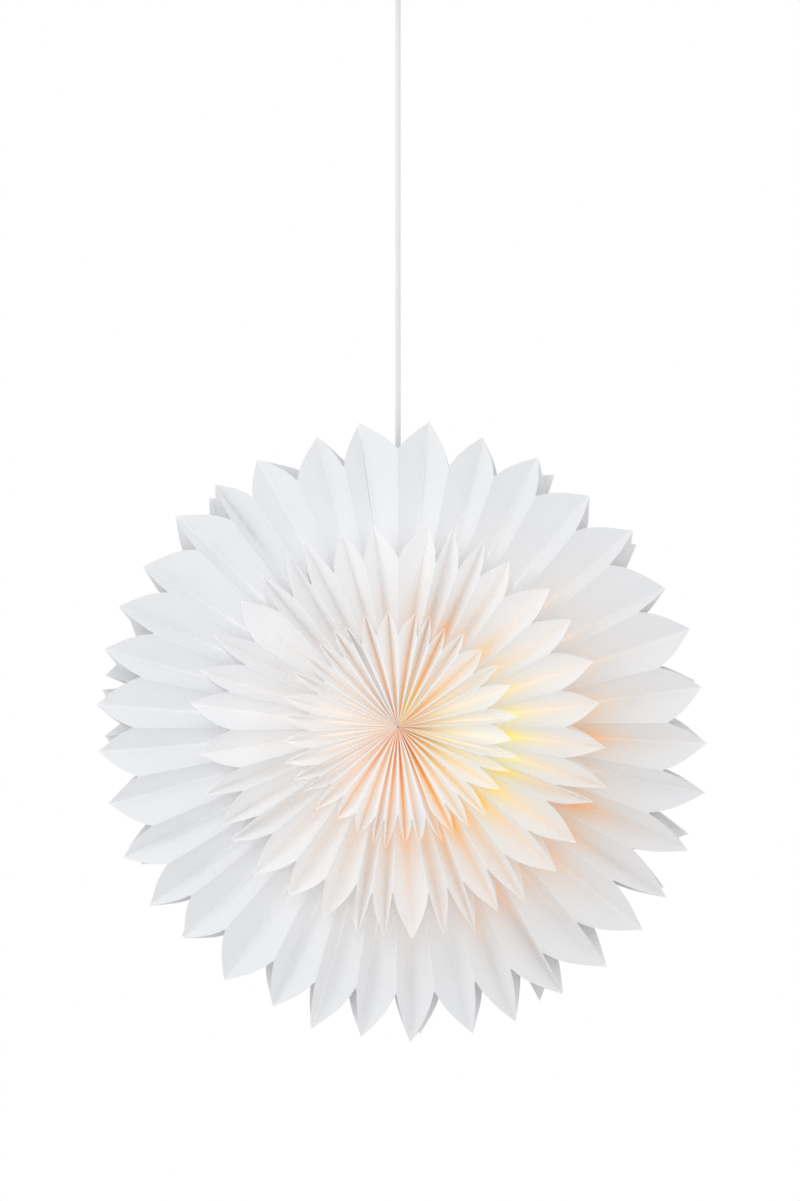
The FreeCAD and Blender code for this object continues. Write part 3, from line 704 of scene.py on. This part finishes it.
def paper_object(name, parts, node):
    """One mesh object from its tubes, in place of a CAD node."""
    points, faces, lights, start = [], [], [], 0
    for part_points, part_faces, part_lights in parts:
        points.append(part_points)
        lights.append(part_lights)
        faces += [[index + start for index in face] for face in part_faces]
        start += len(part_points)
    mesh = bpy.data.meshes.new(name)
    mesh.from_pydata(np.concatenate(points).tolist(), [], faces)
    light = mesh.attributes.new("lamplight", "FLOAT_COLOR", "POINT")
    values = np.ones((start, 4))
    values[:, :3] = np.concatenate(lights)
    light.data.foreach_set("color", values.ravel())
    mesh.shade_smooth()
    mesh.set_sharp_from_angle(angle=math.radians(FOLD_SHARPNESS))
    mesh.materials.append(folded_paper)
    piece = bpy.data.objects.new(name, mesh)
    bpy.context.collection.objects.link(piece)
    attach(piece, "pendant")
    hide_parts(node)
    return piece


# %% [markdown]
# ## The leaves
#
# Thirty-five leaves, counted anticlockwise from the top. Neighbours share the angles of their seam, so their
# petals meet there edge to edge.

# %% All leaves
WALL_BOW = 0.0016


def leaf_parts(number):
    """The six tubes of one leaf."""
    parts = []
    for line in (5, 3, 1, -1, -3, -5):
        tier, back = abs(line), line < 0

        def seam_angle(side, radius, line=line):
            return seam_at(number + side, line, radius)

        def fold_angle(fold_line, radius):
            return fold_at(number, fold_line, radius)

        tips = [tip_radius(tier, number + side, back) for side in (0, 1)]
        notches = notch_radius(tier, number, back)
        bows = {(fold, seam): WALL_BOW * chance.normal() for fold in (1, -1) for seam in (0, 1)}
        grid = tube_grid(line, seam_angle, fold_angle, tips, notches, bows)
        parts.append(tube_parts(line, grid, seam_angle, True))
    return parts


for number in range(LEAF_COUNT):
    paper_object(f"paper_leaf_{number + 1:02d}", leaf_parts(number), f"leaf_{number + 1:02d}")
print("leaves:", LEAF_COUNT)

# %% [markdown]
# ## The closing sheets
#
# The first and last sheet of the ball meet at the top. They are tied round the flex at their middle fold, so
# each is half a cell: a single pleated sheet from its seams to the folds on the closing line.

# %% Closing sheets
CLOSING_ROWS = 14
CLOSING_NOTCH_LIFT = 0.012
FLEX_CLEARANCE = 0.0001


def closing_wall(line, fold_side, side):
    """One wall of a closing sheet as a grid of (radius, sideways, depth), for both faces of the paper."""
    tier, back = abs(line), line < 0
    seam = 0 if side > 0 else LEAF_COUNT
    foot = CORE_RADIUS if tier == 5 else TIERS[tier][0]
    notch = TIERS[tier][1] + (CLOSING_NOTCH_LIFT if tier == 1 and not back else 0.0)
    tip = tip_radius(tier, seam, back)
    along = np.linspace(0, 1, WALL_COLUMNS + 1)[None, :]
    across = s_curve(along)
    edge = notch + (tip - notch) * petal_edge(across)
    rows = np.linspace(0, 1, CLOSING_ROWS + 1)[:, None]
    radius = foot + (edge - foot) * rows
    fold_line = line + fold_side
    upright = TOP if side > 0 else TOP + 360
    seam_width = np.abs(radius * np.sin(np.radians(seam_at(seam, line, radius) - upright)))
    wall = np.minimum(wall_at(radius), seam_width / 3)
    film = np.minimum(GLUE_FILM, seam_width / 12)
    layers = []
    for layer in (0, 1):
        seam_side_width = seam_width - film - layer * wall
        gap = FLEX_DIAMETER / 2 + FLEX_CLEARANCE if fold_line == 0 else film
        fold_width = gap + (1 - layer) * wall
        width = fold_width + across * (seam_side_width - fold_width)
        depth = -(fold_line + along * (line - fold_line)) * line_spacing(radius)
        layers.append((radius, side * width, depth))
    return layers, along + 0 * radius


def closing_parts(side):
    """All walls of one closing sheet."""
    parts = []
    for line in (5, 3, 1, -1, -3, -5):
        for fold_side in (1, -1):
            layers, share = closing_wall(line, fold_side, side)
            points, lights = [], []
            for radius, width, depth in layers:
                x, z = -width, radius
                points.append(np.stack([x, depth, z + STAR_HEIGHT], axis=-1).reshape(-1, 3))
                lights.append(stored_light(x, z, radius, share, line).reshape(-1, 3))
            rows, columns = CLOSING_ROWS + 1, WALL_COLUMNS + 1
            count = rows * columns
            flip = (side > 0) == (fold_side > 0)
            faces = []
            for row in range(rows - 1):
                for column in range(columns - 1):
                    a = row * columns + column
                    quad = [a, a + 1, a + columns + 1, a + columns]
                    faces.append(quad if flip else quad[::-1])
                    far = [index + count for index in quad]
                    faces.append(far[::-1] if flip else far)
            border = list(range(columns))
            border += [row * columns + columns - 1 for row in range(1, rows)]
            border += [(rows - 1) * columns + column for column in range(columns - 2, -1, -1)]
            border += [row * columns for row in range(rows - 2, 0, -1)]
            for a, b in zip(border, border[1:] + border[:1]):
                quad = [a, b, b + count, a + count]
                faces.append(quad[::-1] if flip else quad)
            parts.append((np.concatenate(points), faces, np.concatenate(lights)))
    return parts


paper_object("closing_sheet_first", closing_parts(1), "first_end_sheet")
paper_object("closing_sheet_last", closing_parts(-1), "last_end_sheet")
print("closing sheets: 2")

# %% [markdown]
# ## The glue beads on the axis
#
# All leaves meet on the star's axis, where a line of glue holds them, in front of the lamp's room and behind
# it. It is a thin uneven bead with drawn-in ends, and shows only as a dot at the very middle. A plain rod
# would look machined there, so its rings vary a little in size.

# %% Glue beads
BEAD_RADIUS = 0.0011
BEAD_SIDES, BEAD_RINGS = 12, 24
POLE_RECESS = 0.007
ROOM_END = -0.139


def glue_bead(name, near, far):
    """A thin uneven bead of glue along the axis, from one depth to another, with rounded ends."""
    turns = np.arange(BEAD_SIDES) * 2 * math.pi / BEAD_SIDES
    points, faces = [], []
    for ring, share in enumerate(np.linspace(0, 1, BEAD_RINGS + 1)):
        end = math.sqrt(max(1 - abs(2 * share - 1) ** 24, 0.04))
        reach = BEAD_RADIUS * end * (1 + 0.12 * math.sin(9 * share + 1.0) + 0.08 * chance.normal())
        depth = near + share * (far - near)
        points += [(reach * math.cos(turn), depth, STAR_HEIGHT + reach * math.sin(turn)) for turn in turns]
    faces = ring_faces(0, BEAD_RINGS, BEAD_SIDES, far < near)
    last = BEAD_RINGS * BEAD_SIDES
    caps = [list(range(BEAD_SIDES)), list(range(last + BEAD_SIDES - 1, last - 1, -1))]
    faces += [cap[::-1] if far < near else cap for cap in caps]
    mesh = bpy.data.meshes.new(name)
    mesh.from_pydata(points, [], faces)
    mesh.shade_smooth()
    bead = bpy.data.objects.new(name, mesh)
    bpy.context.collection.objects.link(bead)
    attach(bead, "pendant")
    return bead


front_pole = -6 * line_spacing(0) + POLE_RECESS
glue_beads = {
    "spine_core_front": glue_bead("glue_bead_front", front_pole, ROOM_END),
    "spine_core_back": glue_bead("glue_bead_back", -front_pole, -ROOM_END),
}
for node, bead in glue_beads.items():
    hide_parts(node)
print("glue beads run from", round(front_pole, 3), "to", ROOM_END)

# %% [markdown]
# ## Finishes of the small parts
#
# The lampholder, lamp, hanger and ceiling fitting keep their CAD shapes. Each slot gets a finish of its own:
# fine-textured plastic, smoother plastic for the ceiling cup, zinc plate, ceramic, brass, aluminium, the opal
# globe that glows, tape and dried glue. One function makes them all from the shared mottle, because they
# differ only in colour, gloss and the size of their grain.

# %% Plain finishes
def simple_material(
    name, colour, roughness, metallic=0.0, scales=(40, 1500), uneven=0.05, bump=0.15, **sockets
):
    """A finish from the shared mottle: its colour varies a little and its surface is finely bumped."""
    material, tree, shader = new_material(name, Metallic=metallic, Roughness=roughness, **sockets)
    mottle = place_group(
        tree,
        surface_mottle,
        {
            "Colour": (*colour, 1),
            "Cloud Scale": scales[0],
            "Grain Scale": scales[1],
            "Unevenness": uneven,
            "Bump": bump,
        },
    )
    rough = add_node(tree, "ShaderNodeMapRange", {"To Min": roughness - 0.06, "To Max": roughness + 0.08})
    tree.links.new(mottle.outputs["Grain"], rough.inputs["Value"])
    tree.links.new(rough.outputs["Result"], shader.inputs["Roughness"])
    tree.links.new(mottle.outputs["Colour"], shader.inputs["Base Color"])
    tree.links.new(mottle.outputs["Normal"], shader.inputs["Normal"])
    return material


FINISHES = {
    "white_flex": simple_material("white_flex", (0.84, 0.84, 0.84), 0.42, uneven=0.02, bump=0.05),
    "white_plastic": simple_material("white_plastic", (0.83, 0.83, 0.81), 0.45),
    "cup_plastic": simple_material("cup_plastic", (0.84, 0.84, 0.83), 0.28, uneven=0.02, bump=0.04),
    "zinc_steel": simple_material("zinc_steel", (0.62, 0.63, 0.64), 0.32, metallic=1.0, scales=(160, 900)),
    "clear_tape": simple_material("clear_tape", (0.85, 0.85, 0.83), 0.3, uneven=0.03),
    "dried_glue": simple_material("dried_glue", (0.82, 0.80, 0.74), 0.55, scales=(500, 2200), bump=0.5),
    "holder_ceramic": simple_material("holder_ceramic", (0.85, 0.84, 0.80), 0.5, scales=(90, 1300)),
    "contact_brass": simple_material(
        "contact_brass", (0.78, 0.62, 0.34), 0.3, metallic=1.0, scales=(300, 1800)
    ),
    "lamp_aluminium": simple_material(
        "lamp_aluminium", (0.78, 0.78, 0.78), 0.3, metallic=1.0, scales=(200, 900)
    ),
    "light_module": simple_material("light_module", (0.9, 0.85, 0.6), 0.5, scales=(400, 1200), uneven=0.2),
    "opal_globe": simple_material(
        "opal_globe",
        (0.98, 0.93, 0.80),
        0.25,
        uneven=0.02,
        bump=0.02,
        Emission_Color=(1.0, 0.62, 0.26, 1),
        Emission_Strength=1.6,
    ),
}
hanging_flex.data.materials.append(FINISHES["white_flex"])
for bead in glue_beads.values():
    bead.data.materials.append(FINISHES["dried_glue"])
print("finishes:", ", ".join(FINISHES))

# %% Dress the CAD nodes
slots = {row["node"]: row["material_slot"] for row in frame["record"]["subparts"]}
for name, piece in frame["nodes"].items():
    piece.data.materials.clear()
    piece.data.materials.append(FINISHES.get(slots[name], folded_paper))
print("CAD nodes with a finish:", len(frame["nodes"]))

# %% [markdown]
# ## Light
#
# Plain studio light: a bright room all round, and one large soft lamp at the upper left that gives the folds
# their light and dark sides. The backdrop is full white only to the camera and in reflections, so it doesn't
# add light to the paper.

# %% World and lamps
def build_world():
    """A white backdrop to the camera and to reflections, and a softer white light on the object."""
    world = bpy.data.worlds.new("white_room")
    bpy.context.scene.world = world
    world.use_nodes = True
    tree = world.node_tree
    tree.nodes.clear()
    out = tree.nodes.new("ShaderNodeOutputWorld")
    room = add_node(tree, "ShaderNodeBackground", {"Color": (0.975, 0.985, 1.0, 1), "Strength": 0.94})
    backdrop = add_node(tree, "ShaderNodeBackground", {"Color": (1, 1, 1, 1), "Strength": 1.0})
    rays = add_node(tree, "ShaderNodeLightPath")
    seen = add_node(tree, "ShaderNodeMath", operation="MAXIMUM")
    tree.links.new(rays.outputs["Is Camera Ray"], seen.inputs[0])
    tree.links.new(rays.outputs["Is Glossy Ray"], seen.inputs[1])
    also = add_node(tree, "ShaderNodeMath", operation="MAXIMUM")
    tree.links.new(seen.outputs[0], also.inputs[0])
    tree.links.new(rays.outputs["Is Transmission Ray"], also.inputs[1])
    choice = add_node(tree, "ShaderNodeMixShader")
    tree.links.new(also.outputs[0], choice.inputs["Fac"])
    tree.links.new(room.outputs[0], choice.inputs[1])
    tree.links.new(backdrop.outputs[0], choice.inputs[2])
    tree.links.new(choice.outputs[0], out.inputs["Surface"])
    return world


def add_area_lamp(name, place, target, size, watts):
    """A square soft lamp that faces a point."""
    data = bpy.data.lights.new(name, "AREA")
    data.shape = "SQUARE"
    data.size = size
    data.energy = watts
    lamp = bpy.data.objects.new(name, data)
    lamp.location = place
    aim = Vector(target) - Vector(place)
    lamp.rotation_euler = aim.to_track_quat("-Z", "Y").to_euler()
    bpy.context.collection.objects.link(lamp)
    return lamp


build_world()
add_area_lamp("key_lamp", (-2.1, -1.9, 0.5), (0, 0, STAR_HEIGHT), size=1.1, watts=9)
bpy.context.scene.view_settings.view_transform = "Standard"
print("lamps: one key lamp in a bright room")

# %% [markdown]
# ## Floor
#
# A plain pale floor lies well under the hanging lamp and out of the photograph's frame. It keeps the lamp's
# shadow. Further out it fades to the backdrop's white, so that no horizon or corner shows in other views: a
# mask by distance from the middle, and only for what the camera sees.

# %% Floor
FLOOR_HEIGHT = -2.4
FLOOR_HALF = 6.0
FADE_START, FADE_END = 2.2, 5.0


def floor_material():
    """A pale matt floor that fades to white far from its middle."""
    material = simple_material("pale_floor", (0.86, 0.86, 0.86), 0.7, scales=(2, 60), uneven=0.02)
    tree = material.node_tree
    shader, out = tree.nodes["Principled BSDF"], tree.nodes["Material Output"]
    place = add_node(tree, "ShaderNodeTexCoord")
    distance = add_node(tree, "ShaderNodeVectorMath", operation="LENGTH")
    tree.links.new(place.outputs["Object"], distance.inputs[0])
    mask = add_node(tree, "ShaderNodeMapRange", {"From Min": FADE_START, "From Max": FADE_END})
    mask.interpolation_type = "SMOOTHSTEP"
    tree.links.new(distance.outputs["Value"], mask.inputs["Value"])
    rays = add_node(tree, "ShaderNodeLightPath")
    seen = add_node(tree, "ShaderNodeMath", operation="MULTIPLY")
    tree.links.new(mask.outputs["Result"], seen.inputs[0])
    tree.links.new(rays.outputs["Is Camera Ray"], seen.inputs[1])
    white = add_node(tree, "ShaderNodeEmission", {"Color": (1, 1, 1, 1), "Strength": 1.0})
    choice = add_node(tree, "ShaderNodeMixShader")
    tree.links.new(seen.outputs[0], choice.inputs["Fac"])
    tree.links.new(shader.outputs[0], choice.inputs[1])
    tree.links.new(white.outputs[0], choice.inputs[2])
    tree.links.new(choice.outputs[0], out.inputs["Surface"])
    return material


def add_floor():
    """A pale plane that isn't part of the object."""
    mesh = bpy.data.meshes.new("floor")
    corners = [(x * FLOOR_HALF, y * FLOOR_HALF, 0) for x, y in ((-1, -1), (1, -1), (1, 1), (-1, 1))]
    mesh.from_pydata(corners, [], [(0, 1, 2, 3)])
    floor = bpy.data.objects.new("floor", mesh)
    floor.location = (0, 0, FLOOR_HEIGHT)
    bpy.context.collection.objects.link(floor)
    mesh.materials.append(floor_material())
    return floor


add_floor()
print("floor at", -FLOOR_HEIGHT, "m below the ceiling")

# %% End
bpy.context.view_layer.update()
